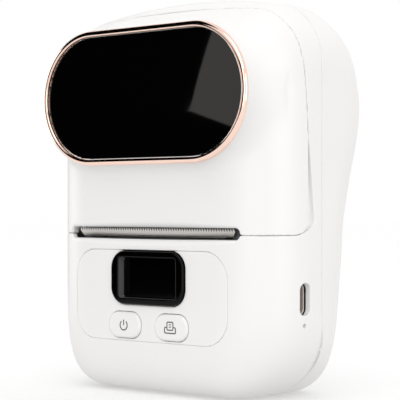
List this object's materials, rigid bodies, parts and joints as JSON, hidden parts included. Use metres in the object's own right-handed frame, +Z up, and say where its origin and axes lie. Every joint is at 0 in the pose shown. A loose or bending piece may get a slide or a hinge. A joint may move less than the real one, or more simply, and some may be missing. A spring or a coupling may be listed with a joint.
{
  "type": "thermal label printer",
  "caption": "Handheld thermal label printer with an oval window on its hinged lid, a toothed exit slot, a display and two buttons.",
  "frame": {"origin": "on the resting surface, under the middle of the overall box", "axes": "+Z up, the front with the display and paper exit faces -Y, and the USB socket faces +X; the label roll's axis lies along X"},
  "size_m": [0.095, 0.0622, 0.1221],
  "materials": {
    "white_shell": "satin white moulded plastic",
    "button_white": "satin white moulded plastic with printed grey icons",
    "rose_gold": "polished rose-gold plating",
    "window_black": "gloss black, slightly domed",
    "lens_black": "gloss smoked display lens",
    "blade_steel": "stamped steel",
    "port_steel": "nickel-plated steel",
    "dark_plastic": "matt dark grey plastic",
    "steel": "bright steel",
    "rubber": "ground black silicone rubber",
    "acetal": "natural acetal",
    "ceramic": "glazed ceramic substrate",
    "aluminium": "mill-finish aluminium",
    "flex_amber": "polyimide film",
    "sensor_black": "matt black plastic",
    "board_green": "green solder mask",
    "cell_sleeve": "blue shrink sleeve over the cell"
  },
  "bodies": {
    "base": {"front_housing": "white_shell", "rear_housing": "white_shell", "control_panel": "white_shell", "display_lens": "lens_black", "display_module": "sensor_black", "tear_blade": "blade_steel", "hinge_bracket": "dark_plastic", "print_chassis": "dark_plastic", "label_sensor": "sensor_black", "gear_plate": "steel", "stepper_motor": "steel", "idler_axle": "steel", "reduction_axle": "steel", "roll_bay": "dark_plastic", "guide_track": "dark_plastic", "main_board": "board_green", "power_switch": "sensor_black", "print_switch": "sensor_black", "usb_socket": "port_steel", "usb_board": "board_green", "reset_switch": "sensor_black", "battery_cell": "cell_sleeve", "battery_cradle": "dark_plastic", "housing_screw_1": "steel", "housing_screw_2": "steel", "housing_screw_3": "steel", "housing_screw_4": "steel", "board_screw_left": "steel", "board_screw_right": "steel", "chassis_screw_left": "steel", "chassis_screw_right": "steel", "head_flex": "flex_amber", "head_spring_left": "steel", "head_spring_right": "steel"},
    "lid": {"lid_shell": "white_shell", "window_bezel": "rose_gold", "window_panel": "window_black", "lid_liner": "dark_plastic", "hinge_pin_left": "steel", "hinge_pin_right": "steel", "platen_bush_left": "acetal", "platen_bush_right": "acetal"},
    "platen": {"platen_roller": "rubber", "platen_shaft": "steel", "platen_gear": "acetal"},
    "head": {"print_head": "ceramic", "head_heatsink": "aluminium"},
    "idler": {"idler_gear": "acetal"},
    "reduction": {"reduction_gear": "acetal"},
    "motor_rotor": {"motor_pinion": "steel"},
    "left_guide": {"guide_left": "dark_plastic"},
    "right_guide": {"guide_right": "dark_plastic"},
    "pinion": {"guide_pinion": "acetal"},
    "left_hub": {"hub_left": "acetal"},
    "right_hub": {"hub_right": "acetal"},
    "power_key": {"power_button": "button_white"},
    "print_key": {"print_button": "button_white"}
  },
  "joints": [
    {"name": "lid_hinge", "type": "hinge", "parent": "base", "child": "lid", "pos_m": [0, -0.0164, 0.1141], "axis": [-1, 0, 0], "range_deg": [0, 80]},
    {"name": "platen_spin", "type": "hinge", "parent": "lid", "child": "platen", "pos_m": [0, -0.0164, 0.0566], "axis": [1, 0, 0], "continuous": true},
    {"name": "idler_spin", "type": "hinge", "parent": "base", "child": "idler", "pos_m": [0.0348, -0.00731, 0.05135], "axis": [1, 0, 0], "continuous": true},
    {"name": "reduction_spin", "type": "hinge", "parent": "base", "child": "reduction", "pos_m": [0.0375, -0.00281, 0.04356], "axis": [1, 0, 0], "continuous": true},
    {"name": "motor_spin", "type": "hinge", "parent": "base", "child": "motor_rotor", "pos_m": [0.0375, 0.00847, 0.03945], "axis": [1, 0, 0], "continuous": true},
    {"name": "head_float", "type": "slide", "parent": "base", "child": "head", "axis": [0, 0.7071, -0.7071], "range_m": [0, 0.0004], "stiffness_N_per_m": 2500, "springref_m": -0.0004},
    {"name": "left_guide_slide", "type": "slide", "parent": "base", "child": "left_guide", "axis": [1, 0, 0], "range_m": [0, 0.0165]},
    {"name": "right_guide_slide", "type": "slide", "parent": "base", "child": "right_guide", "axis": [-1, 0, 0], "range_m": [0, 0.0165]},
    {"name": "guide_pinion_turn", "type": "hinge", "parent": "base", "child": "pinion", "pos_m": [0, 0.0051, 0.0578], "axis": [0, 0, 1], "range_deg": [0, 198]},
    {"name": "left_hub_spin", "type": "hinge", "parent": "left_guide", "child": "left_hub", "pos_m": [-0.027, 0.0021, 0.084], "axis": [1, 0, 0], "continuous": true},
    {"name": "right_hub_spin", "type": "hinge", "parent": "right_guide", "child": "right_hub", "pos_m": [0.027, 0.0021, 0.084], "axis": [1, 0, 0], "continuous": true},
    {"name": "power_press", "type": "slide", "parent": "base", "child": "power_key", "axis": [0, 1, 0], "range_m": [0, 0.0008], "stiffness_N_per_m": 600, "springref_m": -0.0008},
    {"name": "print_press", "type": "slide", "parent": "base", "child": "print_key", "axis": [0, 1, 0], "range_m": [0, 0.0008], "stiffness_N_per_m": 600, "springref_m": -0.0008}
  ],
  "couplings": [
    {"joint": "idler_spin", "follows": "platen_spin", "ratio": -0.75},
    {"joint": "reduction_spin", "follows": "platen_spin", "ratio": 1.5},
    {"joint": "motor_spin", "follows": "platen_spin", "ratio": -4.5},
    {"joint": "right_guide_slide", "follows": "left_guide_slide", "ratio": 1},
    {"joint": "guide_pinion_turn", "follows": "left_guide_slide", "rad_per_m": 208.33}
  ]
}
